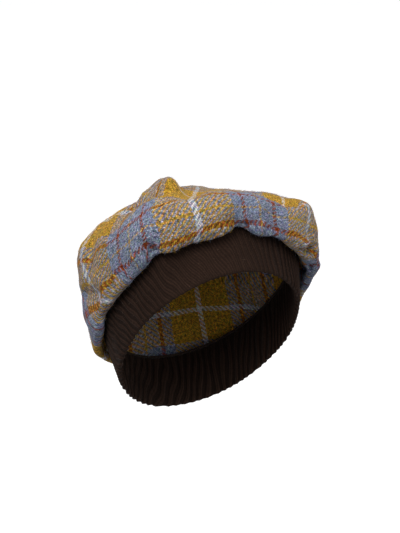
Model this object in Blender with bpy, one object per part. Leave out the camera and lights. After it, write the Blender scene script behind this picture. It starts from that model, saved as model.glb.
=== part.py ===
"""Tam o' shanter: a round tweed crown gathered onto a folded, ribbed knit band. Metres, +Z up.

The hat has the form it takes when worn, with its rim tilted back from the forehead to the nape.
The origin is the centre of the head opening, the wearer's left is +X and the front is -Y.
"""
import math
from collections import namedtuple

import bmesh
import bpy
import numpy as np

# The head opening and the knit band.
RIM_TILT = math.radians(40.0)
RIM_HALF_LENGTH = 0.099
RIM_HALF_WIDTH = 0.083
BAND_HEIGHT = 0.058
BAND_WALL = 0.0035
BAND_FLARE = 0.0093
BAND_LEAN_LEFT = 0.0093
BAND_LEAN_FRONT = 0.0058
RIBS = 128
RIB_RELIEF = 0.0007
BAND_ROUNDING = 0.0015

# The crown's cloth and its upright axis.
CLOTH = 0.0018
SEAM_GAP = 0.0004
SEAM_OVERHANG = 0.0008
SEAM_TURN = 0.0036
SEAM_DROP = 0.0050
SEAM_DROP_SHARE = 0.4
LIP_HALF_WIDTH = 0.0034
LIP_RISE = 0.0012
TUCK_SHARE = 0.3
AXIS_BACK = 0.020
TOP_HEIGHT = 0.134
COLUMNS = 80

# One row for each section of the crown, turning from the front by the wearer's right. The lip is
# where the cloth hangs lowest beside the band: off its face, and up from the rim. The side, the
# edge and the crest are a reach from the upright axis and a height above the origin.
Section = namedtuple(
    "Section", "turn lip_off lip_up side_reach side_z edge_reach edge_z crest_reach crest_z")
SECTIONS = (
    Section(0, 0.010, 0.023, 0.101, 0.109, 0.094, 0.127, 0.070, 0.134),
    Section(30, 0.010, 0.031, 0.100, 0.106, 0.092, 0.126, 0.068, 0.133),
    Section(60, 0.010, 0.034, 0.104, 0.095, 0.092, 0.117, 0.062, 0.130),
    Section(90, 0.010, 0.036, 0.107, 0.082, 0.093, 0.107, 0.060, 0.125),
    Section(120, 0.009, 0.036, 0.109, 0.077, 0.096, 0.098, 0.060, 0.121),
    Section(135, 0.010, 0.042, 0.108, 0.070, 0.095, 0.099, 0.060, 0.122),
    Section(155, 0.011, 0.052, 0.109, 0.058, 0.095, 0.103, 0.060, 0.126),
    Section(180, 0.011, 0.055, 0.109, 0.060, 0.096, 0.108, 0.062, 0.133),
    Section(210, 0.011, 0.055, 0.110, 0.062, 0.098, 0.112, 0.064, 0.135),
    Section(240, 0.012, 0.048, 0.110, 0.064, 0.099, 0.118, 0.068, 0.136),
    Section(270, 0.013, 0.036, 0.109, 0.068, 0.100, 0.122, 0.072, 0.135),
    Section(300, 0.010, 0.032, 0.110, 0.076, 0.100, 0.122, 0.072, 0.132),
    Section(330, 0.011, 0.021, 0.105, 0.096, 0.096, 0.118, 0.074, 0.125),
)
# Steps between the knots of a section, from the seam to the middle of the top.
SECTION_STEPS = (1, 2, 3, 2, 2, 5, 4, 3, 4)

# One row for each gather at the band: where it is, how far it spreads in degrees, how far it lifts
# the lip and how far it tucks the cloth in.
Gather = namedtuple("Gather", "turn spread lift tuck")
GATHERS = (
    Gather(8, 7, 0.011, 0.009),
    Gather(347, 7, 0.007, 0.006),
    Gather(51, 7, 0.007, 0.007),
    Gather(99, 8, 0.004, 0.006),
    Gather(150, 8, 0.000, 0.004),
    Gather(173, 7, 0.000, 0.003),
    Gather(196, 8, 0.000, 0.004),
    Gather(220, 7, 0.000, 0.003),
    Gather(246, 8, 0.002, 0.005),
    Gather(277, 8, 0.003, 0.005),
    Gather(316, 7, 0.002, 0.006),
)

# One row for each fold of the top: a ridge or a dip that follows a line and fades to both sides.
Fold = namedtuple("Fold", "name start end spread lift")
FOLDS = (
    Fold("peak", (-0.053, -0.002, 0.128), (-0.034, 0.018, 0.135), 0.011, 0.016),
    Fold("notch", (-0.014, -0.008, 0.136), (0.000, 0.010, 0.134), 0.010, -0.002),
    Fold("back_swell", (-0.030, 0.050, 0.134), (0.000, 0.050, 0.134), 0.030, 0.004),
    Fold("left_dip", (0.040, -0.028, 0.130), (0.070, -0.006, 0.128), 0.010, -0.004),
)

TWEED_COLOUR = (0.30, 0.25, 0.19, 1.0)
KNIT_COLOUR = (0.022, 0.013, 0.009, 1.0)


def tilted(left, front, up):
    """World points from distances in the rim's own tilted plane and square to it."""
    cos, sin = math.cos(RIM_TILT), math.sin(RIM_TILT)
    return np.stack([left, sin * up - cos * front, sin * front + cos * up], axis=-1)


def beside_band(turns, off, up):
    """Points off the band's outer face and up from its rim; an oval tube that leans and flares."""
    angle = np.radians(turns)
    oval = 1.0 / np.hypot(np.sin(angle) / RIM_HALF_WIDTH, np.cos(angle) / RIM_HALF_LENGTH)
    share = up / BAND_HEIGHT
    reach = oval + BAND_FLARE * share + off
    left = BAND_LEAN_LEFT * share - reach * np.sin(angle)
    front = BAND_LEAN_FRONT * share + reach * np.cos(angle)
    return tilted(left, front, np.broadcast_to(up, reach.shape))


def round_axis(turns, reach, height):
    """Points round the crown's upright axis."""
    angle = np.radians(turns)
    left = -reach * np.sin(angle)
    back = AXIS_BACK - reach * np.cos(angle)
    return np.stack([left, back, np.broadcast_to(height, left.shape)], axis=-1)


def hermite(start, end, leave, arrive, share):
    """A smooth step from start to end with the given slopes."""
    square, cube = share ** 2, share ** 3
    return ((2 * cube - 3 * square + 1) * start + (cube - 2 * square + share) * leave
            + (3 * square - 2 * cube) * end + (cube - square) * arrive)


def round_the_rows(column, turns):
    """One column of the section table, smooth round the whole crown."""
    rows = np.array([row.turn for row in SECTIONS], dtype=float)
    values = np.array([getattr(row, column) for row in SECTIONS])
    here = np.searchsorted(rows, turns, side="right") - 1
    before, after, beyond = here - 1, (here + 1) % len(rows), (here + 2) % len(rows)
    span = (rows[after] - rows[here]) % 360.0
    span_before = (rows[here] - rows[before]) % 360.0
    span_beyond = (rows[beyond] - rows[after]) % 360.0
    leave = (values[after] - values[before]) * span / (span_before + span)
    arrive = (values[beyond] - values[here]) * span / (span + span_beyond)
    return hermite(values[here], values[after], leave, arrive, (turns - rows[here]) / span)


def gathered(turns, size):
    """How far the gathers lift or tuck the cloth at each turn."""
    total = np.zeros_like(turns)
    for gather in GATHERS:
        away = (turns - gather.turn + 180.0) % 360.0 - 180.0
        total += getattr(gather, size) * np.exp(-(away / gather.spread) ** 2)
    return total


def section_knots(turns):
    """The points that each section of the crown passes through, from the seam to the middle."""
    column = {name: round_the_rows(name, turns) for name in Section._fields[1:]}
    lift, tuck = gathered(turns, "lift"), gathered(turns, "tuck")
    flat = np.zeros_like(turns)
    top = BAND_HEIGHT + SEAM_GAP
    lip_off = column["lip_off"] - TUCK_SHARE * tuck
    lip_up = column["lip_up"] + lift
    drop = np.minimum(SEAM_DROP, SEAM_DROP_SHARE * (top - lip_up))
    lip = beside_band(turns, lip_off, lip_up)
    aside = round_axis(turns, flat + LIP_HALF_WIDTH, 0.0) - round_axis(turns, flat, 0.0)
    rise = np.array([0.0, 0.0, LIP_RISE])
    return np.stack([
        beside_band(turns, flat - 2 * BAND_WALL, top - SEAM_OVERHANG),
        beside_band(turns, flat - BAND_WALL, top),
        beside_band(turns, flat + SEAM_OVERHANG, top + SEAM_GAP),
        beside_band(turns, flat + SEAM_TURN, top - drop),
        lip - aside + rise,
        lip,
        lip + aside + rise,
        round_axis(turns, column["side_reach"] - tuck, column["side_z"]),
        round_axis(turns, column["edge_reach"] - TUCK_SHARE * tuck, column["edge_z"]),
        round_axis(turns, column["crest_reach"], column["crest_z"]),
        round_axis(turns, flat, TOP_HEIGHT),
        round_axis(turns + 180.0, column["crest_reach"], column["crest_z"]),
    ], axis=1)


def through_knots(knots):
    """A smooth curve through the knots of every section; the first and last only guide it."""
    gaps = np.sqrt(np.linalg.norm(np.diff(knots, axis=1), axis=2))[..., None]
    rows = []
    for span, steps in enumerate(SECTION_STEPS, start=1):
        before, start, end, beyond = (knots[:, span + shift] for shift in (-1, 0, 1, 2))
        back, here, ahead = (gaps[:, span + shift] for shift in (-1, 0, 1))
        leave = ((start - before) / back - (end - before) / (back + here) + (end - start) / here)
        arrive = ((end - start) / here - (beyond - start) / (here + ahead) + (beyond - end) / ahead)
        for step in range(steps):
            rows.append(hermite(start, end, leave * here, arrive * here, step / steps))
    rows.append(knots[:, -2])
    return np.stack(rows, axis=1)


def fold_top(points):
    """Lifts the ridges and lowers the dips of the top."""
    folded = points.copy()
    for fold in FOLDS:
        start, end = np.array(fold.start), np.array(fold.end)
        along = end - start
        share = np.clip((points - start) @ along / (along @ along), 0.0, 1.0)
        away = np.linalg.norm(points - start - share[..., None] * along, axis=2)
        folded[..., 2] += fold.lift * np.exp(-(away / fold.spread) ** 2)
    return folded


def outward(points):
    """Unit normals of a surface whose columns run round the crown."""
    across = np.roll(points, -1, axis=0) - np.roll(points, 1, axis=0)
    along = np.gradient(points, axis=1)
    normals = np.cross(along, across)
    normals[:, -1] = normals[:, -2].mean(axis=0)
    return normals / np.linalg.norm(normals, axis=2, keepdims=True)


def new_object(name, mesh_maker, colour, roughness):
    """A named, smooth-shaded object with its own material."""
    mesh = bpy.data.meshes.new(name)
    mesh_maker.to_mesh(mesh)
    mesh_maker.free()
    mesh.shade_smooth()
    mesh.set_sharp_from_angle(angle=math.radians(60.0))
    material = bpy.data.materials.new(name)
    material.use_nodes = True
    shader = material.node_tree.nodes["Principled BSDF"]
    shader.inputs["Base Color"].default_value = colour
    shader.inputs["Roughness"].default_value = roughness
    shader.inputs["Metallic"].default_value = 0.0
    mesh.materials.append(material)
    thing = bpy.data.objects.new(name, mesh)
    bpy.context.collection.objects.link(thing)


def strips(maker, loops):
    """Faces between neighbouring closed loops of vertices, facing out on a clockwise round."""
    for lower, upper in zip(loops, loops[1:]):
        for here in range(len(lower)):
            there = (here + 1) % len(lower)
            maker.faces.new((lower[there], lower[here], upper[here], upper[there]))


def build_crown():
    """The crown: one round of cloth, open where it is gathered onto the band."""
    turns = np.arange(COLUMNS) * 360.0 / COLUMNS
    face = fold_top(through_knots(section_knots(turns)))
    lining_side = face - CLOTH * outward(face)
    maker = bmesh.new()
    sides = []
    for side in (face, lining_side):
        loops = [[maker.verts.new(point) for point in side[:, row]]
                 for row in range(side.shape[1] - 1)]
        sides.append((loops, maker.verts.new(side[0, -1])))
    (outer, outer_middle), (inner, inner_middle) = sides
    strips(maker, outer)
    strips(maker, inner[::-1])
    strips(maker, [inner[0], outer[0]])
    for here in range(COLUMNS):
        there = (here + 1) % COLUMNS
        maker.faces.new((outer[-1][there], outer[-1][here], outer_middle))
        maker.faces.new((inner[-1][here], inner[-1][there], inner_middle))
    new_object("crown", maker, TWEED_COLOUR, 0.95)


def build_band():
    """The band: a knit tube folded double, with upright ribs on both faces."""
    turns = np.arange(2 * RIBS) * 180.0 / RIBS
    ribs = RIB_RELIEF * (np.arange(2 * RIBS) % 2 - 0.5)
    low, high = BAND_ROUNDING, BAND_HEIGHT - BAND_ROUNDING
    outline = (
        (0.0, low, 1), (0.0, 0.5 * BAND_HEIGHT, 1), (0.0, high, 1),
        (-0.5 * BAND_WALL, BAND_HEIGHT, 0),
        (-BAND_WALL, high, -1), (-BAND_WALL, low, -1),
        (-0.5 * BAND_WALL, 0.0, 0),
    )
    maker = bmesh.new()
    loops = []
    for off, up, relief in outline:
        points = beside_band(turns, off + relief * ribs, up)
        loops.append([maker.verts.new(point) for point in points])
    strips(maker, loops + loops[:1])
    new_object("ribbed_band", maker, KNIT_COLOUR, 0.9)


for leftover in list(bpy.data.objects):
    bpy.data.objects.remove(leftover, do_unlink=True)
build_crown()
build_band()
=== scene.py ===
import math
from collections import namedtuple

import bmesh
import bpy
import numpy as np
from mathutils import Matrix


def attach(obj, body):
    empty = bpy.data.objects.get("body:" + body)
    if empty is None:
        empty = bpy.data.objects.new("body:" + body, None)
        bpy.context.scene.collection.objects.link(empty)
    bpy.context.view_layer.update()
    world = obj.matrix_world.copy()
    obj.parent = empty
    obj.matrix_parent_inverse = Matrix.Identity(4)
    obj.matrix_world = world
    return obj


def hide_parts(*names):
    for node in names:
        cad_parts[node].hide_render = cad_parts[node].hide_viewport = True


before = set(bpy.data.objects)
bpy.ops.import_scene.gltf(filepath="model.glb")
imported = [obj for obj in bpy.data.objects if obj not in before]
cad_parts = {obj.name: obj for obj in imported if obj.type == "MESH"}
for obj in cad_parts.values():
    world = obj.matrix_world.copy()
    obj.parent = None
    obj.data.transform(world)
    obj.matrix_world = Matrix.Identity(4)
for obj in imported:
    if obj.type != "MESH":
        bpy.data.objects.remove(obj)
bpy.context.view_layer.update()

# ---- The view ----
# The photograph looks level at the hat from its front right, from far off and with a long lens.
# The target puts the hat in the frame where the photograph has it.
VIEW_TURN = math.radians(31.0)
VIEW_DISTANCE = 2.0
VIEW_TARGET = (-0.00733, 0.00440, 0.06705)
VIEW_LENS = 150.08

camera_data = bpy.data.cameras.new("camera")
camera_data.sensor_width = 36.0
camera_data.lens = VIEW_LENS
camera_data.clip_end = 20.0
camera = bpy.data.objects.new("camera", camera_data)
camera.location = (VIEW_TARGET[0] - VIEW_DISTANCE * math.sin(VIEW_TURN),
                   VIEW_TARGET[1] - VIEW_DISTANCE * math.cos(VIEW_TURN), VIEW_TARGET[2])
camera.rotation_euler = (math.radians(90.0), 0.0, -VIEW_TURN)
bpy.context.collection.objects.link(camera)
bpy.context.scene.camera = camera

# ---- The crown ----
# One round of woolly checked tweed, a 2/2 twill about 1.8 mm thick, gathered and sewn onto the top
# of the band. It swells out past the band, hangs over it in a soft roll and folds to a peak on top.

# The band that the crown is sewn to: its oval rim, its height and wall, its flare and its lean.
RIM_TILT = math.radians(40.0)
RIM_HALF_LENGTH = 0.099
RIM_HALF_WIDTH = 0.083
BAND_HEIGHT = 0.058
BAND_WALL = 0.0035
BAND_FLARE = 0.0093
BAND_LEAN_LEFT = 0.0093
BAND_LEAN_FRONT = 0.0058

# The cloth's thickness, the seam at the band's top edge and the lip that hangs below it.
CLOTH = 0.0018
SEAM_GAP = 0.0004
SEAM_OVERHANG = 0.0008
SEAM_TURN = 0.0036
SEAM_DROP = 0.0050
SEAM_DROP_SHARE = 0.4
LIP_HALF_WIDTH = 0.0034
LIP_RISE = 0.0012
TUCK_SHARE = 0.3

# The crown's upright axis stands behind the middle of the rim, and the top is this high on it.
AXIS_BACK = 0.020
TOP_HEIGHT = 0.134

# The crown's section at each turn: its lip beside the band, then its side, edge and crest, each as
# a reach from the upright axis and a height. Turn 0 is the front, turn 90 the wearer's right.
Section = namedtuple(
    "Section", "turn lip_off lip_up side_reach side_z edge_reach edge_z crest_reach crest_z")
SECTIONS = (
    Section(0, 0.010, 0.023, 0.101, 0.109, 0.094, 0.127, 0.070, 0.134),
    Section(30, 0.010, 0.031, 0.100, 0.106, 0.092, 0.126, 0.068, 0.133),
    Section(60, 0.010, 0.034, 0.104, 0.095, 0.092, 0.117, 0.062, 0.130),
    Section(90, 0.010, 0.036, 0.107, 0.082, 0.093, 0.107, 0.060, 0.125),
    Section(120, 0.009, 0.036, 0.109, 0.077, 0.096, 0.098, 0.060, 0.121),
    Section(135, 0.010, 0.042, 0.108, 0.070, 0.095, 0.099, 0.060, 0.122),
    Section(155, 0.011, 0.052, 0.109, 0.058, 0.095, 0.103, 0.060, 0.126),
    Section(180, 0.011, 0.055, 0.109, 0.060, 0.096, 0.108, 0.062, 0.133),
    Section(210, 0.011, 0.055, 0.110, 0.062, 0.098, 0.112, 0.064, 0.135),
    Section(240, 0.012, 0.048, 0.110, 0.064, 0.099, 0.118, 0.068, 0.136),
    Section(270, 0.013, 0.036, 0.109, 0.068, 0.100, 0.122, 0.072, 0.135),
    Section(300, 0.010, 0.032, 0.110, 0.076, 0.100, 0.122, 0.072, 0.132),
    Section(330, 0.011, 0.021, 0.105, 0.096, 0.096, 0.118, 0.074, 0.125),
)
# In how many steps each span of a section is drawn, from the seam to the middle.
SECTION_STEPS = (12, 24, 36, 24, 24, 60, 48, 36, 48)

# Where the lip is gathered up to the band, and how far that tucks the side in.
Gather = namedtuple("Gather", "turn spread lift tuck")
GATHERS = (
    Gather(8, 7, 0.011, 0.009),
    Gather(347, 7, 0.007, 0.006),
    Gather(51, 7, 0.007, 0.007),
    Gather(99, 8, 0.004, 0.006),
    Gather(150, 8, 0.000, 0.004),
    Gather(173, 7, 0.000, 0.003),
    Gather(196, 8, 0.000, 0.004),
    Gather(220, 7, 0.000, 0.003),
    Gather(246, 8, 0.002, 0.005),
    Gather(277, 8, 0.003, 0.005),
    Gather(316, 7, 0.002, 0.006),
)

# A ridge or a dip of the top from start to end. A steeper one has a rounder back and falls quicker.
Fold = namedtuple("Fold", "name start end spread lift steep", defaults=(2.0,))
FOLDS = (
    Fold("peak", (-0.0475, -0.005, 0.130), (-0.0405, 0.011, 0.135), 0.0118, 0.0145, 3.0),
    Fold("peak_foot", (-0.0655, -0.001, 0.127), (-0.060, 0.007, 0.128), 0.0100, 0.0086, 3.0),
    Fold("peak_valley", (-0.076, -0.001, 0.123), (-0.058, -0.015, 0.131), 0.006, -0.0045),
    Fold("peak_nose", (-0.068, -0.018, 0.128), (-0.056, -0.024, 0.131), 0.008, 0.0030),
    Fold("brow_dip", (-0.047, -0.040, 0.131), (-0.026, -0.016, 0.134), 0.012, -0.0060),
    Fold("rear_ridge", (-0.026, 0.020, 0.136), (0.008, 0.030, 0.136), 0.014, 0.0040),
    Fold("back_swell", (-0.030, 0.050, 0.134), (0.000, 0.050, 0.134), 0.030, 0.0040),
    Fold("left_dip", (0.036, -0.037, 0.128), (0.064, -0.027, 0.125), 0.0145, -0.0115),
    Fold("left_shoulder", (0.080, -0.038, 0.120), (0.088, -0.018, 0.119), 0.010, 0.0035),
)

# One row for each crease of the sides: a line that the cloth dips in along, or a roll beside it.
CREASES = (
    Fold("blue_ridge", (-0.078, -0.018, 0.119), (-0.098, -0.016, 0.100), 0.007, 0.0025),
    Fold("shoulder_valley", (-0.076, -0.001, 0.121), (-0.095, -0.003, 0.106), 0.006, -0.0030),
    Fold("left_gather", (-0.074, -0.033, 0.077), (-0.087, -0.031, 0.088), 0.0040, -0.0048),
    Fold("left_gather_roll", (-0.084, -0.024, 0.071), (-0.096, -0.016, 0.082), 0.006, 0.0024),
    Fold("left_tuck", (-0.099, 0.058, 0.041), (-0.099, 0.026, 0.043), 0.0055, -0.0050),
    Fold("left_tuck_roll", (-0.104, 0.052, 0.055), (-0.102, 0.018, 0.056), 0.007, 0.0025),
    Fold("low_left_roll", (-0.094, 0.062, 0.022), (-0.093, 0.050, 0.014), 0.008, 0.0025),
    Fold("front_gather", (-0.011, -0.067, 0.103), (-0.024, -0.074, 0.107), 0.0045, -0.0035),
    Fold("front_gather_left", (-0.006, -0.068, 0.102), (0.006, -0.077, 0.110), 0.0045, -0.0035),
    Fold("small_gather", (0.013, -0.074, 0.095), (0.014, -0.078, 0.104), 0.004, -0.0030),
    Fold("side_gather", (0.024, -0.067, 0.089), (0.022, -0.077, 0.100), 0.004, -0.0030),
    Fold("side_roll", (0.028, -0.072, 0.090), (0.035, -0.072, 0.090), 0.006, 0.0032),
    Fold("right_tuck", (0.079, -0.049, 0.082), (0.053, -0.066, 0.080), 0.0036, -0.0100),
    Fold("right_tuck_roll", (0.073, -0.055, 0.089), (0.050, -0.069, 0.087), 0.0050, 0.0035),
    Fold("low_right_tuck", (0.096, -0.004, 0.066), (0.086, -0.036, 0.066), 0.0036, -0.0085),
    Fold("low_right_roll", (0.099, -0.026, 0.067), (0.100, -0.020, 0.063), 0.006, 0.0030),
    Fold("back_tuck_right", (-0.096, 0.075, 0.040), (-0.070, 0.110, 0.050), 0.006, -0.0045),
    Fold("back_tuck_left", (0.060, 0.118, 0.060), (0.090, 0.080, 0.050), 0.006, -0.0045),
    Fold("back_tuck_middle", (-0.010, 0.128, 0.085), (0.016, 0.128, 0.045), 0.006, -0.0040),
)
# A crease fades toward its end, the cloth waves a little all over, and both die out at the seam.
CREASE_FADE = 0.4
WAVE_HEIGHT = 0.0007
RIPPLE_HEIGHT = 0.00035
SEWN_FLAT = 0.008
SEWN_EASE = 0.012

# How the check lies, in millimetres. Its lines at 114, 73 and 41 run round the crown. Each row
# gives how far along them, and along the lip, a turn is, and how far the three are from the middle.
Lay = namedtuple(
    "Lay", "turn along_114 along_73 along_41 along_lip reach_114 reach_73 reach_41")
CLOTH_LAY = (
    Lay(0, -43, -54, -52, -54, 56, 92, 117),
    Lay(8, -35, -39, -33, -34, 53, 89, 115),
    Lay(24, -14, -17, -8, -8, 52, 88, 121),
    Lay(36, 0, 0, 12, 13, 51, 87, 130),
    Lay(48, 14, 17, 30, 34, 49, 89, 132),
    Lay(56, 24, 27, 40, 55, 48, 103, 139),
    Lay(61, 31, 38, 51, 74, 48, 113, 148),
    Lay(66, 44, 54, 63, 91, 56, 121, 156),
    Lay(70, 57, 65, 72, 105, 78, 127, 159),
    Lay(73, 66, 73, 78, 114, 93, 132, 161),
    Lay(80, 82, 84, 90, 134, 102, 136, 168),
    Lay(90, 99, 97, 105, 150, 95, 134, 170),
    Lay(107, 112, 111, 137, 168, 93, 136, 180),
    Lay(122, 130, 146, 187, 198, 98, 142, 191),
    Lay(150, 190, 205, 225, 236, 84, 120, 158),
    Lay(180, 262, 270, 280, 285, 66, 102, 136),
    Lay(209, 342, 342, 342, 342, 60, 96, 130),
    Lay(240, 413, 410, 405, 403, 62, 98, 133),
    Lay(270, 488, 475, 462, 458, 66, 102, 152),
    Lay(280, 514, 500, 480, 474, 72, 103, 165),
    Lay(292, 541, 535, 503, 492, 78, 103, 173),
    Lay(300, 553, 558, 524, 504, 80, 101, 161),
    Lay(309, 561, 575, 545, 512, 83, 99, 149),
    Lay(314, 566, 583, 560, 515, 83, 98, 134),
    Lay(326, 579, 592, 573, 520, 80, 96, 134),
    Lay(336, 597, 600, 593, 541, 74, 97, 124),
    Lay(348, 621, 613, 613, 590, 61, 95, 119),
)
# Past the lip the check runs on at its own size to the hem.
MILLIMETRES = 1000.0
CHECK = 114.0
SECOND_LINE = 73.0
THIRD_LINE = 41.0
CLOTH_ROUND = 6 * CHECK
CLOTH_MIDDLE = 167.0
LIP_PAST_THIRD = 41.0
LIP_CHECK = 23.5
PAST_LIP = 200.0
CROWN_COLUMNS = 360
TOP_ROWS = 26
SIDE_ROWS = 96
WELD = 1e-6


def tilted(left, front, up):
    """World points from distances in the rim's own tilted plane and square to it."""
    cos, sin = math.cos(RIM_TILT), math.sin(RIM_TILT)
    return np.stack([left, sin * up - cos * front, sin * front + cos * up], axis=-1)


def beside_band(turns, off, up):
    """Points off the band's outer face and up from its rim."""
    angle = np.radians(turns)
    oval = 1.0 / np.hypot(np.sin(angle) / RIM_HALF_WIDTH, np.cos(angle) / RIM_HALF_LENGTH)
    share = up / BAND_HEIGHT
    reach = oval + BAND_FLARE * share + off
    left = BAND_LEAN_LEFT * share - reach * np.sin(angle)
    front = BAND_LEAN_FRONT * share + reach * np.cos(angle)
    return tilted(left, front, np.broadcast_to(up, reach.shape))


def round_axis(turns, reach, height):
    """Points round the crown's upright axis."""
    angle = np.radians(turns)
    left = -reach * np.sin(angle)
    back = AXIS_BACK - reach * np.cos(angle)
    return np.stack([left, back, np.broadcast_to(height, left.shape)], axis=-1)


def hermite(start, end, leave, arrive, share):
    """A smooth step from start to end with the given slopes."""
    square, cube = share ** 2, share ** 3
    return ((2 * cube - 3 * square + 1) * start + (cube - 2 * square + share) * leave
            + (3 * square - 2 * cube) * end + (cube - square) * arrive)


def round_the_rows(table, column, turns, gained=0.0):
    """One column of a table, smooth round the crown; gained is what a whole round adds to it."""
    rows = np.array([row.turn for row in table], dtype=float)
    values = np.array([getattr(row, column) for row in table], dtype=float)
    rows = np.concatenate([rows - 360.0, rows, rows + 360.0])
    values = np.concatenate([values - gained, values, values + gained])
    slopes = np.gradient(values)
    slopes[1:-1] = (values[2:] - values[:-2]) / (rows[2:] - rows[:-2])
    here = np.searchsorted(rows, turns, side="right") - 1
    span = rows[here + 1] - rows[here]
    return hermite(values[here], values[here + 1], slopes[here] * span, slopes[here + 1] * span,
                   (turns - rows[here]) / span)


def gathered(turns, size):
    """How far the gathers lift or tuck the cloth at each turn."""
    total = np.zeros_like(turns)
    for gather in GATHERS:
        away = (turns - gather.turn + 180.0) % 360.0 - 180.0
        total += getattr(gather, size) * np.exp(-(away / gather.spread) ** 2)
    return total


def section_knots(turns):
    """The points that each section of the crown passes through, from the seam to the middle."""
    column = {name: round_the_rows(SECTIONS, name, turns) for name in Section._fields[1:]}
    lift, tuck = gathered(turns, "lift"), gathered(turns, "tuck")
    flat = np.zeros_like(turns)
    top = BAND_HEIGHT + SEAM_GAP
    lip_off = column["lip_off"] - TUCK_SHARE * tuck
    lip_up = column["lip_up"] + lift
    drop = np.minimum(SEAM_DROP, SEAM_DROP_SHARE * (top - lip_up))
    lip = beside_band(turns, lip_off, lip_up)
    aside = round_axis(turns, flat + LIP_HALF_WIDTH, 0.0) - round_axis(turns, flat, 0.0)
    rise = np.array([0.0, 0.0, LIP_RISE])
    return np.stack([
        beside_band(turns, flat - 2 * BAND_WALL, top - SEAM_OVERHANG),
        beside_band(turns, flat - BAND_WALL, top),
        beside_band(turns, flat + SEAM_OVERHANG, top + SEAM_GAP),
        beside_band(turns, flat + SEAM_TURN, top - drop),
        lip - aside + rise,
        lip,
        lip + aside + rise,
        round_axis(turns, column["side_reach"] - tuck, column["side_z"]),
        round_axis(turns, column["edge_reach"] - TUCK_SHARE * tuck, column["edge_z"]),
        round_axis(turns, column["crest_reach"], column["crest_z"]),
        round_axis(turns, flat, TOP_HEIGHT),
        round_axis(turns + 180.0, column["crest_reach"], column["crest_z"]),
    ], axis=1)


def through_knots(knots):
    """A smooth curve through the knots of every section; the first and last only guide it."""
    gaps = np.sqrt(np.linalg.norm(np.diff(knots, axis=1), axis=2))[..., None]
    rows = []
    for span, steps in enumerate(SECTION_STEPS, start=1):
        before, start, end, beyond = (knots[:, span + shift] for shift in (-1, 0, 1, 2))
        back, here, ahead = (gaps[:, span + shift] for shift in (-1, 0, 1))
        leave = ((start - before) / back - (end - before) / (back + here) + (end - start) / here)
        arrive = ((end - start) / here - (beyond - start) / (here + ahead) + (beyond - end) / ahead)
        for step in range(steps):
            rows.append(hermite(start, end, leave * here, arrive * here, step / steps))
    rows.append(knots[:, -2])
    return np.stack(rows, axis=1)


def fold_top(points):
    """Lifts the ridges and lowers the dips of the top."""
    folded = points.copy()
    for fold in FOLDS:
        start, end = np.array(fold.start), np.array(fold.end)
        along = end - start
        share = np.clip((points - start) @ along / (along @ along), 0.0, 1.0)
        away = np.linalg.norm(points - start - share[..., None] * along, axis=2)
        folded[..., 2] += fold.lift * np.exp(-(away / fold.spread) ** fold.steep)
    return folded


def outward(points):
    """Unit normals of a surface whose columns run round the crown."""
    across = np.roll(points, -1, axis=0) - np.roll(points, 1, axis=0)
    along = np.gradient(points, axis=1)
    normals = np.cross(along, across)
    normals[:, -1] = normals[:, -2].mean(axis=0)
    return normals / np.linalg.norm(normals, axis=2, keepdims=True)


def crease_sides(points):
    """Dips and rolls the cloth along the creases, and waves it a little, square to its face."""
    moved = np.zeros(points.shape[:2])
    for crease in CREASES:
        start, end = np.array(crease.start), np.array(crease.end)
        along = end - start
        share = np.clip((points - start) @ along / (along @ along), 0.0, 1.0)
        away = np.linalg.norm(points - start - share[..., None] * along, axis=2)
        fade = 1.0 - CREASE_FADE * share
        moved += crease.lift * fade * np.exp(-(away / crease.spread) ** 2)
    # Two sets of crossed waves, in radians for each metre.
    x, y, z = points[..., 0], points[..., 1], points[..., 2]
    moved += WAVE_HEIGHT * np.sin(145 * x + 60 * z + 1.0) * np.sin(130 * y - 70 * z + 2.0)
    moved += RIPPLE_HEIGHT * np.sin(330 * x - 150 * y + 0.5) * np.sin(290 * z + 170 * x + 4.0)
    from_seam = np.linalg.norm(points - points[:, -1:], axis=2)
    free = np.clip((from_seam - SEWN_FLAT) / SEWN_EASE, 0.0, 1.0)
    return points + (moved * free)[..., None] * outward(points[:, ::-1])[:, ::-1]


def lay_cloth(path, turns):
    """Rows of points from the middle to the seam, and where each lies on the check."""
    steps = np.linalg.norm(np.diff(path, axis=1), axis=2) * MILLIMETRES
    arcs = np.concatenate([np.zeros((len(turns), 1)), np.cumsum(steps, axis=1)], axis=1)
    along = [round_the_rows(CLOTH_LAY, name, turns, CLOTH_ROUND)
             for name in ("along_114", "along_73", "along_41", "along_lip")]
    ring, second, third = (round_the_rows(CLOTH_LAY, name, turns)
                           for name in ("reach_114", "reach_73", "reach_41"))
    points, check = [], []
    for column in range(len(turns)):
        arc = arcs[column]
        reach = np.concatenate([
            np.linspace(0.0, ring[column], TOP_ROWS, endpoint=False),
            np.linspace(ring[column], arc[-1], SIDE_ROWS)])
        points.append(np.stack(
            [np.interp(reach, arc, path[column, :, axis]) for axis in range(3)], axis=-1))
        knots = (ring[column], second[column], third[column], third[column] + LIP_PAST_THIRD)
        round_it = np.interp(reach, knots, [line[column] for line in along])
        down_it = np.interp(reach, (*knots, knots[-1] + PAST_LIP),
                            (CHECK, SECOND_LINE, THIRD_LINE, LIP_CHECK, LIP_CHECK - PAST_LIP))
        share = np.clip(reach / ring[column], 0.0, 1.0)
        check.append(np.stack([round_it, down_it, share], axis=-1))
    return np.array(points), np.array(check)


def on_top(check):
    """Where the points inside the check's line at 114 lie, on the flat cloth of the top."""
    along = (check[..., 0] + CLOTH_ROUND / 2.0) % CLOTH_ROUND - CLOTH_ROUND / 2.0
    size, side = np.abs(along), np.sign(along)
    across = np.where(size <= CHECK, size, np.where(size <= 2 * CHECK, CHECK, 3 * CHECK - size))
    back = np.clip(size, CHECK, 2 * CHECK)
    share = check[..., 2]
    return np.stack([side * across * share, CLOTH_MIDDLE + (back - CLOTH_MIDDLE) * share], axis=-1)


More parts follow.
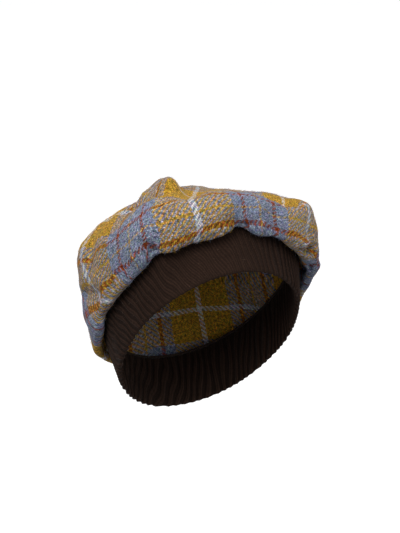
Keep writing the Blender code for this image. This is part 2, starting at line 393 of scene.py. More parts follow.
def grid_faces(columns, rows, first=0):
    """Faces between the rows of a closed round of columns, facing out."""
    here = first + np.arange(columns)[:, None] * rows + np.arange(rows - 1)[None, :]
    there = np.roll(here, -1, axis=0)
    return np.stack([there, here, here + 1, there + 1], axis=-1)


def new_piece(name, points, faces, places, **amounts):
    """A smooth, welded mesh piece with a UV map of places, and other amounts at its points."""
    mesh = bpy.data.meshes.new(name)
    mesh.from_pydata(points.tolist(), [], faces.tolist())
    layer = mesh.uv_layers.new(name="cloth")
    layer.data.foreach_set("uv", places.reshape(-1).astype(np.float32))
    for title, values in amounts.items():
        layer = mesh.attributes.new(title, "FLOAT", "POINT")
        layer.data.foreach_set("value", values.reshape(-1).astype(np.float32))
    welded = bmesh.new()
    welded.from_mesh(mesh)
    bmesh.ops.remove_doubles(welded, verts=welded.verts, dist=WELD)
    welded.to_mesh(mesh)
    welded.free()
    mesh.shade_smooth()
    piece = bpy.data.objects.new(name, mesh)
    bpy.context.collection.objects.link(piece)
    return piece


def build_crown():
    """The cloth with its two faces and its hem."""
    turns = np.arange(CROWN_COLUMNS) * 360.0 / CROWN_COLUMNS
    path = fold_top(through_knots(section_knots(turns)))[:, ::-1]
    face, check = lay_cloth(path, turns)
    face, check = crease_sides(face)[:, ::-1], check[:, ::-1]
    back = face - CLOTH * outward(face)
    rows = face.shape[1]
    outer = grid_faces(CROWN_COLUMNS, rows)
    inner = grid_faces(CROWN_COLUMNS, rows, face[..., 0].size)[..., ::-1]
    hem = np.stack([inner[:, 0, 3], inner[:, 0, 2], outer[:, 0, 1], outer[:, 0, 0]], axis=-1)

    following = np.roll(check, -1, axis=0)
    following[-1, :, 0] += CLOTH_ROUND
    corners = np.stack([following[:, :-1], check[:, :-1], check[:, 1:], following[:, 1:]], axis=2)
    flat = np.where(corners[..., 2:].min(axis=2, keepdims=True) < 1.0,
                    on_top(corners), corners[..., :2])
    hem_places = flat[:, :1][:, :, [0, 1, 1, 0]]
    faces = np.concatenate([outer.reshape(-1, 4), inner.reshape(-1, 4), hem])
    places = np.concatenate([flat.reshape(-1, 4, 2), flat[:, :, ::-1].reshape(-1, 4, 2),
                             hem_places.reshape(-1, 4, 2)])
    points = np.concatenate([face.reshape(-1, 3), back.reshape(-1, 3)])
    from_hem = MILLIMETRES * np.linalg.norm(face - face[:, :1], axis=2)
    return new_piece("crown_tweed", points, faces, places,
                     from_hem=np.stack([from_hem, from_hem]),
                     outer=np.stack([np.ones(from_hem.shape), np.zeros(from_hem.shape)]))


def node(tree, kind, inputs=(), **settings):
    """A node with its settings and inputs."""
    made = tree.nodes.new(kind)
    for name, value in settings.items():
        setattr(made, name, value)
    for place, value in dict(inputs).items():
        if isinstance(value, bpy.types.NodeSocket):
            tree.links.new(value, made.inputs[place])
        else:
            made.inputs[place].default_value = value
    return made


def maths(tree, operation, *values):
    """The result of a maths node."""
    return node(tree, "ShaderNodeMath", dict(enumerate(values)), operation=operation).outputs[0]


def mixed(tree, factor, first, second):
    """The colour that is factor of the way from first to second."""
    made = node(tree, "ShaderNodeMix", {0: factor, 6: first, 7: second}, data_type="RGBA")
    return made.outputs[2]


def times(tree, colour, amount):
    """A colour made lighter or darker by an amount, or by another colour."""
    if isinstance(amount, bpy.types.NodeSocket) and amount.type == "VALUE":
        made = node(tree, "ShaderNodeVectorMath", {0: colour, 3: amount}, operation="SCALE")
    else:
        made = node(tree, "ShaderNodeVectorMath", {0: colour, 1: amount}, operation="MULTIPLY")
    return made.outputs[0]


def ramp(tree, factor, stops, interpolation="LINEAR"):
    """The colour of a ramp with the given (place, colour) stops."""
    made = node(tree, "ShaderNodeValToRGB", {0: factor})
    made.color_ramp.interpolation = interpolation
    elements = made.color_ramp.elements
    while len(elements) < len(stops):
        elements.new(1.0)
    for element, (place, colour) in zip(elements, stops):
        element.position = place
        element.color = (*colour, 1.0)
    return made.outputs[0]


# The yarns, and where each starts between a white line and the middle of the check.
WHITE_YARN = (0.56, 0.54, 0.53)
MUSTARD_YARN = (0.41, 0.235, 0.024)
BLUE_YARN = (0.195, 0.225, 0.305)
RUST_YARN = (0.225, 0.043, 0.010)
YELLOW_YARN = (0.37, 0.25, 0.075)
HALF_CHECK = CHECK / 2.0
CHECK_STOPS = (
    (0.0, WHITE_YARN), (2.5 / HALF_CHECK, MUSTARD_YARN), (29.0 / HALF_CHECK, BLUE_YARN),
    (39.2 / HALF_CHECK, RUST_YARN), (42.8 / HALF_CHECK, BLUE_YARN),
    (55.9 / HALF_CHECK, YELLOW_YARN),
)
THREADS_IN_CHECK = 96
THREAD = CHECK / THREADS_IN_CHECK
TWILL = 4.0
WARP_UP = 1.5


def yarns_at(tree, place):
    """The warp's and the weft's yarn numbers, the places across them and their colours."""
    axes = node(tree, "ShaderNodeSeparateXYZ", {0: place})
    threads, shares, colours = [], [], []
    for axis in (0, 1):
        count = maths(tree, "DIVIDE", axes.outputs[axis], THREAD)
        thread = maths(tree, "FLOOR", count)
        centre = maths(tree, "MULTIPLY", maths(tree, "ADD", thread, 0.5), THREAD)
        in_check = maths(tree, "DIVIDE", maths(tree, "PINGPONG", centre, HALF_CHECK), HALF_CHECK)
        threads.append(thread)
        shares.append(maths(tree, "SUBTRACT", count, thread))
        colours.append(ramp(tree, in_check, CHECK_STOPS, "CONSTANT"))
    return axes, threads, shares, colours


def warp_over_weft(tree, threads):
    """The thread's place in the twill, and 1 where the warp lies on top."""
    phase = maths(tree, "FLOORED_MODULO", maths(tree, "ADD", *threads), TWILL)
    return phase, maths(tree, "LESS_THAN", phase, WARP_UP)


# How far the yarns may wander from their straight lines, in millimetres.
YARN_WANDER = 1.4
WANDER_SCALE = 0.35
# The flecks along each yarn, and how much of the warp shows, over the weft and under it.
FLECKS_APART = 7.31
FLECK_STRETCH = 0.55
FLECK_PLACES = (3.0, 57.0)
WARP_SHOWS = (0.70, 0.15)
HUE_SPREAD = (1.4, 1.1, 1.4)
HUE_LEAST = (0.30, 0.45, 0.30)
# The light and dark wool that the dyed yarns are blended from. The undyed yarn, which is told by
# how much green it has, is nearly of one shade.
WOOL_SCALE = 0.45
WOOL_DEPTHS = (
    (0.33, (0.20, 0.22, 0.30)), (0.43, (0.52, 0.55, 0.64)), (0.51, (1.0, 1.0, 1.0)),
    (0.59, (1.60, 1.52, 1.44)), (0.68, (2.7, 2.5, 2.35)))
UNDYED_SHARE = (3.3, -0.85)
UNDYED_MOST = 0.7
UNDYED_DEPTH = (1.1, 1.1, 1.1, 1.0)
# The painted shade of each yarn's round, light on its top and dark in the hollows beside it, the
# haze of loose fibres over the yarns and the relief of both.
YARN_ROUND_SHADE = 0.55
YARN_HOLLOW_SHADE = 0.62
HAZE_SCALE = 1.6
HAZE = ((0.36, (0.62, 0.62, 0.66)), (0.5, (1.0, 1.0, 1.0)), (0.68, (1.5, 1.48, 1.45)))
HAZE_RELIEF = 0.9
TWEED_BUMP = 0.00045
# The dark thread that whips over the raw hem: its width in millimetres, how close its turns lie,
# how much they slant, and the painted shade that lights each turn and darkens the gaps between
# them.
HEM_THREAD = (0.030, 0.019, 0.014)
HEM_WIDTH = 4.5
HEM_TURNS = 3.4
HEM_SLANT = 1.2
HEM_SHADE = (0.35, 0.75)


def yarn_round(tree, share):
    """The height of a round yarn at a share of the way across or along it."""
    away = maths(tree, "SUBTRACT", maths(tree, "MULTIPLY", share, 2.0), 1.0)
    return maths(tree, "SUBTRACT", 1.0, maths(tree, "MULTIPLY", away, away))


def tweed_material():
    """Checked 2/2 twill: every yarn takes its colour from its place in the check."""
    material = bpy.data.materials.new("tweed")
    material.use_nodes = True
    tree = material.node_tree
    shader = tree.nodes["Principled BSDF"]
    place = node(tree, "ShaderNodeUVMap", uv_map="cloth").outputs[0]
    wander = node(tree, "ShaderNodeTexNoise",
                  {"Vector": place, "Scale": WANDER_SCALE, "Detail": 2.0})
    shifted = node(tree, "ShaderNodeVectorMath",
                   {0: wander.outputs["Color"], 1: (-0.5, -0.5, -0.5)}, operation="ADD").outputs[0]
    shifted = node(tree, "ShaderNodeVectorMath", {0: shifted, 3: YARN_WANDER},
                   operation="SCALE").outputs[0]
    place = node(tree, "ShaderNodeVectorMath", {0: place, 1: shifted}, operation="ADD").outputs[0]
    axes, threads, shares, colours = yarns_at(tree, place)
    phase, warp_on_top = warp_over_weft(tree, threads)

    # Each yarn is flecked along its own length.
    flecks = []
    for thread, run, offset in zip(threads, (axes.outputs[1], axes.outputs[0]), FLECK_PLACES):
        where = node(tree, "ShaderNodeCombineXYZ", {
            0: maths(tree, "MULTIPLY", thread, FLECKS_APART),
            1: maths(tree, "MULTIPLY", run, FLECK_STRETCH), 2: offset})
        flecks.append(node(tree, "ShaderNodeTexNoise", {
            "Vector": where.outputs[0], "Scale": 1.0, "Detail": 2.0, "Roughness": 0.6}))
    shows = maths(tree, "MULTIPLY_ADD", warp_on_top, *WARP_SHOWS)
    yarn = mixed(tree, shows, colours[1], colours[0])
    fleck = mixed(tree, warp_on_top, flecks[1].outputs["Color"], flecks[0].outputs["Color"])
    hue = node(tree, "ShaderNodeVectorMath", {0: fleck, 1: HUE_SPREAD, 2: HUE_LEAST},
               operation="MULTIPLY_ADD").outputs[0]
    light_and_dark = node(tree, "ShaderNodeTexNoise", {
        "Vector": place, "Scale": WOOL_SCALE, "Detail": 3.0, "Roughness": 0.85})
    depth = ramp(tree, light_and_dark.outputs["Fac"], WOOL_DEPTHS)
    green = node(tree, "ShaderNodeSeparateColor", {0: yarn}).outputs[1]
    undyed = maths(tree, "MAXIMUM", maths(tree, "MULTIPLY_ADD", green, *UNDYED_SHARE), 0.0)
    depth = mixed(tree, maths(tree, "MINIMUM", undyed, UNDYED_MOST), depth, UNDYED_DEPTH)
    coloured = times(tree, times(tree, yarn, hue), depth)

    # Painted shade: each yarn is lighter on its round top and darker in the hollows between the
    # yarns.
    warp_run = maths(tree, "DIVIDE", maths(tree, "ADD", phase, shares[1]), 2.0)
    weft_run = maths(tree, "DIVIDE",
                     maths(tree, "ADD", maths(tree, "SUBTRACT", phase, 2.0), shares[0]), 2.0)
    warp_height = maths(tree, "MULTIPLY", yarn_round(tree, shares[0]), yarn_round(tree, warp_run))
    weft_height = maths(tree, "MULTIPLY", yarn_round(tree, shares[1]), yarn_round(tree, weft_run))
    height = node(tree, "ShaderNodeMix",
                  {0: warp_on_top, 2: weft_height, 3: warp_height}).outputs[0]
    shade = maths(tree, "ADD", maths(tree, "MULTIPLY", height, YARN_ROUND_SHADE), YARN_HOLLOW_SHADE)
    coloured = times(tree, coloured, shade)

    # Loose wool fibres blur the yarns and lighten them a little.
    fibres = node(tree, "ShaderNodeTexNoise", {
        "Vector": place, "Scale": HAZE_SCALE, "Detail": 4.0, "Roughness": 0.75})
    coloured = times(tree, coloured, ramp(tree, fibres.outputs["Fac"], HAZE))

    # The whipping over the hem, with painted shade between the turns of its thread.
    from_hem = node(tree, "ShaderNodeAttribute", attribute_name="from_hem").outputs["Fac"]
    turn = maths(tree, "ADD", maths(tree, "MULTIPLY", axes.outputs[0], HEM_TURNS),
                 maths(tree, "MULTIPLY", from_hem, HEM_SLANT))
    thread_shade = maths(tree, "MULTIPLY_ADD", maths(tree, "SINE", turn), *HEM_SHADE)
    dark_thread = times(tree, HEM_THREAD, thread_shade)
    coloured = mixed(tree, maths(tree, "LESS_THAN", from_hem, HEM_WIDTH), coloured, dark_thread)
    tree.links.new(coloured, shader.inputs["Base Color"])
    relief = maths(tree, "ADD", height,
                   maths(tree, "MULTIPLY", fibres.outputs["Fac"], HAZE_RELIEF))
    bump = node(tree, "ShaderNodeBump",
                {"Strength": 0.75, "Distance": TWEED_BUMP, "Height": relief})
    tree.links.new(bump.outputs[0], shader.inputs["Normal"])
    shader.inputs["Roughness"].default_value = 0.95
    shader.inputs["Specular IOR Level"].default_value = 0.06
    shader.inputs["Sheen Weight"].default_value = 0.05
    shader.inputs["Sheen Roughness"].default_value = 0.55
    return material


crown = build_crown()
crown.data.materials.append(tweed_material())
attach(crown, "root")
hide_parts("crown")

# ---- The crown's loose fibres ----
# Short ends of wool that stand out from the yarns of the tweed, in the yarns' own colours. Each is
# a thin three-sided hair, bent over toward its tip, and they are scattered over the outer face.
CROWN_FIBRES_EACH_SQUARE_METRE = 97000.0
CROWN_FIBRE_LENGTH = 0.0024
CROWN_FIBRE_RADIUS = 0.00004
CROWN_FIBRE_SEED = 7
# Of its length, how far aside and how high a hair's middle and tip stand.
FIBRE_BEND = ((0.2, 0.5), (0.8, 0.4))
FIBRE_TILT = 0.35
FIBRE_TURN = 6.283
FIBRE_SIZES = (0.45, 1.35)
OUTER_FACE = 0.9
PALER = (1.15, 1.15, 1.15)
PALER_LEAST = (0.03, 0.03, 0.03)


def fibre_tree():
    """Bent hairs scattered over the outer face of a cloth."""
    tree = bpy.data.node_groups.new("wool_fibres", "GeometryNodeTree")
    tree.is_modifier = True
    for title, kind in (("Cloth", "Geometry"), ("Each square metre", "Float"), ("Length", "Float"),
                        ("Radius", "Float"), ("Seed", "Int"), ("Material", "Material")):
        tree.interface.new_socket(title, in_out="INPUT", socket_type="NodeSocket" + kind)
    tree.interface.new_socket("Fibres", in_out="OUTPUT", socket_type="NodeSocketGeometry")
    given = tree.nodes.new("NodeGroupInput").outputs
    outer = node(tree, "GeometryNodeInputNamedAttribute", {"Name": "outer"}, data_type="FLOAT")
    on_outer = node(tree, "FunctionNodeCompare", {0: outer.outputs[0], 1: OUTER_FACE},
                    data_type="FLOAT", operation="GREATER_THAN")
    roots = node(tree, "GeometryNodeDistributePointsOnFaces", {
        "Mesh": given["Cloth"], "Selection": on_outer.outputs[0],
        "Density": given["Each square metre"], "Seed": given["Seed"]})
    middle, tip = (
        node(tree, "ShaderNodeCombineXYZ", {
            0: maths(tree, "MULTIPLY", given["Length"], aside),
            2: maths(tree, "MULTIPLY", given["Length"], up)}).outputs[0]
        for aside, up in FIBRE_BEND)
    line = node(tree, "GeometryNodeCurveQuadraticBezier", {
        "Resolution": 2, "Start": (0.0, 0.0, 0.0), "Middle": middle, "End": tip})
    round_it = node(tree, "GeometryNodeCurvePrimitiveCircle", {
        "Resolution": 3, "Radius": given["Radius"]})
    hair = node(tree, "GeometryNodeCurveToMesh", {
        "Curve": line.outputs[0], "Profile Curve": round_it.outputs[0]})
    twist = node(tree, "FunctionNodeRandomValue", {
        0: (-FIBRE_TILT, -FIBRE_TILT, 0.0), 1: (FIBRE_TILT, FIBRE_TILT, FIBRE_TURN),
        "Seed": given["Seed"]}, data_type="FLOAT_VECTOR")
    turned = node(tree, "FunctionNodeRotateRotation", {
        0: roots.outputs["Rotation"],
        1: node(tree, "FunctionNodeEulerToRotation", {0: twist.outputs[0]}).outputs[0]},
        rotation_space="LOCAL")
    size = node(tree, "FunctionNodeRandomValue", {
        2: FIBRE_SIZES[0], 3: FIBRE_SIZES[1], "Seed": given["Seed"]})
    hairs = node(tree, "GeometryNodeInstanceOnPoints", {
        "Points": roots.outputs["Points"], "Instance": hair.outputs[0],
        "Rotation": turned.outputs[0], "Scale": size.outputs[1]})
    real = node(tree, "GeometryNodeRealizeInstances", {0: hairs.outputs[0]})
    coloured = node(tree, "GeometryNodeSetMaterial", {
        "Geometry": real.outputs[0], "Material": given["Material"]})
    finished = tree.nodes.new("NodeGroupOutput")
    tree.links.new(coloured.outputs[0], finished.inputs[0])
    return tree


def scatter_fibres(name, cloth, tree, sizes):
    """A plain mesh of the tree's fibres on a cloth."""
    holder = bpy.data.objects.new(name + "_holder", cloth.data)
    bpy.context.collection.objects.link(holder)
    modifier = holder.modifiers.new("fibres", "NODES")
    modifier.node_group = tree
    for item in tree.interface.items_tree:
        if item.name in sizes:
            modifier[item.identifier] = sizes[item.name]
    seen = bpy.context.evaluated_depsgraph_get()
    mesh = bpy.data.meshes.new_from_object(
        holder.evaluated_get(seen), preserve_all_data_layers=True, depsgraph=seen)
    holder.modifiers.remove(modifier)
    bpy.data.objects.remove(holder)
    fibres = bpy.data.objects.new(name, mesh)
    bpy.context.collection.objects.link(fibres)
    return fibres


def fibre_material():
    """Wool ends in the colour of the yarn under them, a little paler."""
    material = bpy.data.materials.new("tweed_fibres")
    material.use_nodes = True
    tree = material.node_tree
    shader = tree.nodes["Principled BSDF"]
    place = node(tree, "ShaderNodeAttribute", attribute_name="cloth").outputs["Vector"]
    _, threads, _, colours = yarns_at(tree, place)
    _, warp_on_top = warp_over_weft(tree, threads)
    yarn = mixed(tree, warp_on_top, colours[1], colours[0])
    paler = node(tree, "ShaderNodeVectorMath", {0: yarn, 1: PALER, 2: PALER_LEAST},
                 operation="MULTIPLY_ADD").outputs[0]
    tree.links.new(paler, shader.inputs["Base Color"])
    shader.inputs["Roughness"].default_value = 0.9
    shader.inputs["Specular IOR Level"].default_value = 0.1
    return material


wool_fibres = fibre_tree()
crown_fibres = scatter_fibres("crown_fibres", crown, wool_fibres, {
    "Each square metre": CROWN_FIBRES_EACH_SQUARE_METRE, "Length": CROWN_FIBRE_LENGTH,
    "Radius": CROWN_FIBRE_RADIUS, "Seed": CROWN_FIBRE_SEED, "Material": fibre_material()})
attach(crown_fibres, "root")

# ---- The ribbed band ----
# A rib-knit tube of dark brown wool, folded double with the fold at the rim, so both faces show
# ribs. The crown's hem is sewn to its top edge.
RIBS = 84
WALES_PER_RIB = 3
COLUMNS_PER_RIB = 12
RIB_RELIEF = 0.0019
WALE_RELIEF = 0.00026

# By how many ribs' widths they lean from the crown to the rim, more so on the wearer's right, and
# where the brow stretches them nearly flat.
RIB_LEAN = 2.3
RIB_LEAN_RIGHT = 1.8
RIGHT_SIDE = math.radians(85.0)
STRETCHED_TURN = 22.0
STRETCHED_SPREAD = 34.0
STRETCHED_FLAT = 0.85
LEAN_CURVE = 1.3
# Their uneven run: how many widths, how many waves round, and how they climb and start.
RIB_SWAYS = ((0.30, 5, 30, 0.0), (0.22, 11, -45, 1.0), (0.12, 23, 80, 2.0))

# The round of the fold at the rim and of the top edge, and the wavy line of the rim.
RIM_FOLD_HEIGHT = 0.0026
RIM_FOLD_TOP = 0.0035
RIM_FOLD_ANGLES = (0.0, 25.0, 50.0, 75.0, 90.0, 105.0, 130.0, 155.0, 180.0)
BAND_ROUNDING = 0.0016
TOP_ROUND_ANGLES = (150.0, 110.0, 90.0, 70.0, 30.0)
TOP_RELIEF = 0.2
OUTER_ROWS = 24
UNDER_CROWN = 0.010
RIM_WAVE = 0.0005
RIM_WAVES = 7
RIM_SCALLOP = 0.00020
WALE_SCALLOP = 0.3
SCALLOP_HEIGHT = 0.004


def band_outline():
    """(off, up, how far the ribs stand out) down the outer face, round the fold and up inside."""
    half = 0.5 * BAND_WALL
    outline = [(0.0, up, 1.0) for up in
               np.linspace(BAND_HEIGHT - BAND_ROUNDING, RIM_FOLD_TOP, OUTER_ROWS)]
    for angle in np.radians(RIM_FOLD_ANGLES):
        outline.append((half * math.cos(angle) - half,
                        RIM_FOLD_HEIGHT * (1.0 - math.sin(angle)), abs(math.cos(angle))))
    outline += [(-BAND_WALL, up, 1.0) for up in
                np.linspace(RIM_FOLD_TOP, BAND_HEIGHT - BAND_ROUNDING, OUTER_ROWS // 2)]
    for angle in np.radians(TOP_ROUND_ANGLES):
        outline.append((half * math.cos(angle) - half,
                        BAND_HEIGHT - BAND_ROUNDING * (1.0 - math.sin(angle)), TOP_RELIEF))
    return outline


def build_band():
    """The band's fine mesh: broad soft ribs of fine wales, pulled flat over the brow."""
    columns = RIBS * COLUMNS_PER_RIB
    turns = np.arange(columns) * 360.0 / columns
    outline = band_outline()
    rows, wales, outer = [], [], []
    away = (turns - STRETCHED_TURN + 180.0) % 360.0 - 180.0
    loose = 1.0 - STRETCHED_FLAT * np.exp(-(away / STRETCHED_SPREAD) ** 2)
    round_it = np.radians(turns)
    lean = RIB_LEAN + RIB_LEAN_RIGHT * np.cos(round_it - RIGHT_SIDE)
    place = np.arange(columns) / COLUMNS_PER_RIB
    for off, up, strength in outline:
        below_top = 1.0 - up / BAND_HEIGHT
        sway = sum(widths * np.sin(waves * round_it + climb * up + start)
                   for widths, waves, climb, start in RIB_SWAYS) + lean * below_top ** LEAN_CURVE
        wales.append(place + sway)
        rib = np.cos(2 * np.pi * (place + sway))
        wale = np.cos(2 * np.pi * WALES_PER_RIB * (place + sway))
        under_crown = np.clip((BAND_HEIGHT - up) / UNDER_CROWN, 0.0, 1.0)
        stands = 0.5 * strength * (RIB_RELIEF * loose * under_crown * rib + WALE_RELIEF * wale)
        side = 1.0 if off > -0.5 * BAND_WALL else -1.0
        wavy = RIM_WAVE * np.sin(RIM_WAVES * round_it) * below_top * strength
        at_rim = np.clip(1.0 - up / SCALLOP_HEIGHT, 0.0, 1.0)
        scallop = RIM_SCALLOP * (rib * loose + WALE_SCALLOP * wale) * at_rim
        rows.append(beside_band(turns, off + side * stands + wavy, up - scallop))
        outer.append(max(side, 0.0))
    points = np.stack(rows[::-1], axis=1)
    height = points.shape[1]
    closed = np.concatenate([points, points[:, :1]], axis=1)
    faces = grid_faces(columns, height)
    last = np.arange(columns) * height
    following = np.roll(last, -1)
    closing = np.stack([following + height - 1, last + height - 1, last, following], axis=-1)
    faces = np.concatenate([faces, closing[:, None]], axis=1)
    steps = np.linalg.norm(np.diff(closed, axis=1), axis=2).mean(axis=0) * MILLIMETRES
    up = np.concatenate([[0.0], np.cumsum(steps)])
    wales = np.stack(wales[::-1] + wales[-1:], axis=1)
    following_wales = np.roll(wales, -1, axis=0)
    following_wales[-1] += RIBS
    places = np.zeros((columns, height, 4, 2))
    places[..., 0, 0], places[..., 3, 0] = following_wales[:, :-1], following_wales[:, 1:]
    places[..., 1, 0], places[..., 2, 0] = wales[:, :-1], wales[:, 1:]
    places[..., 0, 1] = places[..., 1, 1] = up[None, :-1]
    places[..., 2, 1] = places[..., 3, 1] = up[None, 1:]
    return new_piece("band_ribs", points.reshape(-1, 3), faces.reshape(-1, 4), places,
                     looseness=np.repeat(loose, height), outer=np.tile(outer[::-1], columns))


# A stitch's height in millimetres, its slant in stitches, and the painted shade that lights each
# stitch and darkens the hollows between stitches and between ribs.
COURSE = 1.25
STITCH_SLANT = 1.4
STITCH_SHADE = 0.85
SHADE_BETWEEN_STITCHES = 0.42
SHADE_BETWEEN_RIBS = 0.30
RIB_SHADE = 1.08
BROWN_WOOL = (0.0262, 0.0140, 0.0095)
# The brown wool's fine streaks along the wales, and its broad patches.
WALE_STRETCH = (4.6, 1.0, 1.0)
STREAK_SCALE = 0.8
STREAKS = (2.6, -0.30)
PATCH_SCALE = 0.06
PATCHES = (0.5, 0.75)
STREAK_RELIEF = 0.8
KNIT_BUMP = 0.0004


def knit_material():
    """Rib knit: small V stitches up every wale, with painted shade between the stitches and in the
    hollows between the ribs.
    """
    material = bpy.data.materials.new("rib_knit")
    material.use_nodes = True
    tree = material.node_tree
    shader = tree.nodes["Principled BSDF"]
    place = node(tree, "ShaderNodeUVMap", uv_map="cloth").outputs[0]
    axes = node(tree, "ShaderNodeSeparateXYZ", {0: place})
    rib = maths(tree, "COSINE", maths(tree, "MULTIPLY", axes.outputs[0], 2 * math.pi))
    wale = maths(tree, "FRACT", maths(tree, "MULTIPLY", axes.outputs[0], float(WALES_PER_RIB)))
    slant = maths(tree, "MULTIPLY",
                  maths(tree, "ABSOLUTE", maths(tree, "SUBTRACT", wale, 0.5)), STITCH_SLANT)
    course = maths(tree, "FRACT", maths(
        tree, "SUBTRACT", maths(tree, "DIVIDE", axes.outputs[1], COURSE), slant))
    loop = maths(tree, "SINE", maths(tree, "MULTIPLY", course, math.pi))
    edge = maths(tree, "SINE", maths(tree, "MULTIPLY", wale, math.pi))
    stitch = maths(tree, "MULTIPLY", loop, edge)
    stretched = node(tree, "ShaderNodeVectorMath", {0: place, 1: WALE_STRETCH},
                     operation="MULTIPLY").outputs[0]
    fibres = node(tree, "ShaderNodeTexNoise", {
        "Vector": stretched, "Scale": STREAK_SCALE, "Detail": 5.0, "Roughness": 0.8})
    patches = node(tree, "ShaderNodeTexNoise",
                   {"Vector": stretched, "Scale": PATCH_SCALE, "Detail": 2.0})
    # Painted shade: darker between the stitches and, where the knit is loose, in the hollows
    # between the ribs.
    shade = maths(tree, "ADD", maths(tree, "MULTIPLY", stitch, STITCH_SHADE), SHADE_BETWEEN_STITCHES)
    loose = node(tree, "ShaderNodeAttribute", attribute_name="looseness").outputs["Fac"]
    painted_rib_shade = maths(tree, "MULTIPLY", maths(tree, "SUBTRACT", rib, 1.0),
                   maths(tree, "MULTIPLY", loose, SHADE_BETWEEN_RIBS))
    shade = maths(tree, "MULTIPLY", shade, maths(tree, "ADD", painted_rib_shade, RIB_SHADE))
    for wool, amounts in ((fibres, STREAKS), (patches, PATCHES)):
        lighter = maths(tree, "MULTIPLY_ADD", wool.outputs["Fac"], *amounts)
        shade = maths(tree, "MULTIPLY", shade, lighter)
    tree.links.new(times(tree, BROWN_WOOL, shade), shader.inputs["Base Color"])
    relief = maths(tree, "ADD", stitch,
                   maths(tree, "MULTIPLY", fibres.outputs["Fac"], STREAK_RELIEF))
    bump = node(tree, "ShaderNodeBump", {"Strength": 0.7, "Distance": KNIT_BUMP, "Height": relief})
    tree.links.new(bump.outputs[0], shader.inputs["Normal"])
    shader.inputs["Roughness"].default_value = 0.92
    shader.inputs["Specular IOR Level"].default_value = 0.06
    shader.inputs["Sheen Weight"].default_value = 0.01
    shader.inputs["Sheen Roughness"].default_value = 0.5
    return material


band = build_band()
band.data.materials.append(knit_material())
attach(band, "root")
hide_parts("ribbed_band")

# ---- The band's loose fibres ----
# A few short ends of brown wool that stand out from the ribs, finer and shorter than the crown's.
# Some are paler than others, as in any dyed wool.
BAND_FIBRES_EACH_SQUARE_METRE = 60000.0
BAND_FIBRE_LENGTH = 0.0020
BAND_FIBRE_RADIUS = 0.00003
BAND_FIBRE_SEED = 11
BROWN_SHADE_SCALE = 260.0
BROWN_SHADES = (
    (0.38, (0.030, 0.017, 0.012)), (0.52, (0.075, 0.045, 0.030)), (0.66, (0.20, 0.13, 0.09)))


def brown_fibre_material():
    """Brown wool ends, some paler than others."""
    material = bpy.data.materials.new("brown_fibres")
    material.use_nodes = True
    tree = material.node_tree
    shader = tree.nodes["Principled BSDF"]
    place = node(tree, "ShaderNodeTexCoord").outputs["Object"]
    shades = node(tree, "ShaderNodeTexNoise",
                  {"Vector": place, "Scale": BROWN_SHADE_SCALE, "Detail": 1.0})
    tree.links.new(ramp(tree, shades.outputs["Fac"], BROWN_SHADES), shader.inputs["Base Color"])
    shader.inputs["Roughness"].default_value = 0.9
    shader.inputs["Specular IOR Level"].default_value = 0.1
    return material


band_fibres = scatter_fibres("band_fibres", band, wool_fibres, {
    "Each square metre": BAND_FIBRES_EACH_SQUARE_METRE, "Length": BAND_FIBRE_LENGTH,
    "Radius": BAND_FIBRE_RADIUS, "Seed": BAND_FIBRE_SEED, "Material": brown_fibre_material()})
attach(band_fibres, "root")

# ---- The floor and the light ----
# A pale round floor well below the hat, which turns up into a pale wall on every side, and three
# soft lights: the key from the wearer's front right, a weak one from the left and one from above.
FLOOR_LEVEL = -0.30
FLOOR_REACH = 3.2
FLOOR_RINGS = (0.0001, 1.0, 2.0)
FLOOR_COLUMNS = 96
FLOOR_PAINT = (0.92, 0.92, 0.92, 1.0)
FLOOR_GLOW = 0.35
WALL_TURN = 1.2
WALL_TOP = 3.4
LIT_POINT = (0.0, 0.02, 0.08)
SKY = ((0.0, (0.24, 0.24, 0.25)), (0.5, (0.46, 0.46, 0.47)), (1.0, (0.90, 0.90, 0.90)))


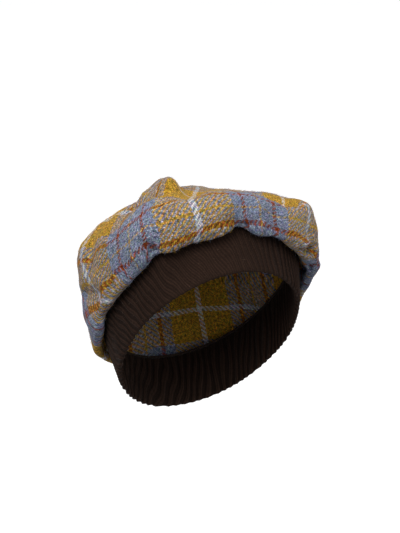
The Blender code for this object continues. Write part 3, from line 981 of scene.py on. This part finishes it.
def build_floor():
    """A bowl: flat in the middle, with a wide curve up into its wall."""
    outline = [(reach, 0.0) for reach in FLOOR_RINGS]
    for angle in np.radians(np.arange(0.0, 91.0, 7.5)):
        outline.append((FLOOR_REACH - WALL_TURN + WALL_TURN * math.sin(angle),
                        WALL_TURN * (1.0 - math.cos(angle))))
    outline.append((FLOOR_REACH, WALL_TOP))
    angle = np.arange(FLOOR_COLUMNS) * 2 * np.pi / FLOOR_COLUMNS
    points = np.stack([np.stack([-reach * np.sin(angle), -reach * np.cos(angle),
                                 np.full(FLOOR_COLUMNS, FLOOR_LEVEL + up)], axis=-1)
                       for reach, up in outline], axis=1)
    faces = grid_faces(FLOOR_COLUMNS, len(outline)).reshape(-1, 4)[:, ::-1]
    floor = new_piece("floor", points.reshape(-1, 3), faces, np.zeros((len(faces), 4, 2)))
    material = bpy.data.materials.new("floor")
    material.use_nodes = True
    shader = material.node_tree.nodes["Principled BSDF"]
    shader.inputs["Base Color"].default_value = FLOOR_PAINT
    shader.inputs["Roughness"].default_value = 0.9
    shader.inputs["Emission Color"].default_value = (1.0, 1.0, 1.0, 1.0)
    shader.inputs["Emission Strength"].default_value = FLOOR_GLOW
    floor.data.materials.append(material)
    # The floor shows, but throws no light back up into the hat.
    floor.visible_diffuse = False


def soft_light(name, place, size, power):
    """A large soft light that faces the hat."""
    light = bpy.data.lights.new(name, "AREA")
    light.shape = "DISK"
    light.size = size
    light.energy = power
    lamp = bpy.data.objects.new(name, light)
    lamp.location = place
    away = np.array(place) - np.array(LIT_POINT)
    lamp.rotation_euler = (math.atan2(math.hypot(away[0], away[1]), away[2]), 0.0,
                           math.atan2(away[0], -away[1]))
    bpy.context.collection.objects.link(lamp)


build_floor()
soft_light("key", (-1.6, -1.3, 1.2), size=1.5, power=38.0)
soft_light("fill", (0.8, -1.9, 0.6), size=1.6, power=8.0)
soft_light("above", (0.1, 0.2, 2.2), size=1.8, power=11.0)
world = bpy.data.worlds.new("world")
world.use_nodes = True
facing = node(world.node_tree, "ShaderNodeTexCoord").outputs["Generated"]
height = node(world.node_tree, "ShaderNodeSeparateXYZ", {0: facing}).outputs[2]
glow = ramp(world.node_tree, maths(world.node_tree, "MULTIPLY_ADD", height, 0.5, 0.5), SKY)
world.node_tree.links.new(glow, world.node_tree.nodes["Background"].inputs[0])
world.node_tree.nodes["Background"].inputs[1].default_value = 1.0
bpy.context.scene.world = world
bpy.context.scene.view_settings.view_transform = "Standard"
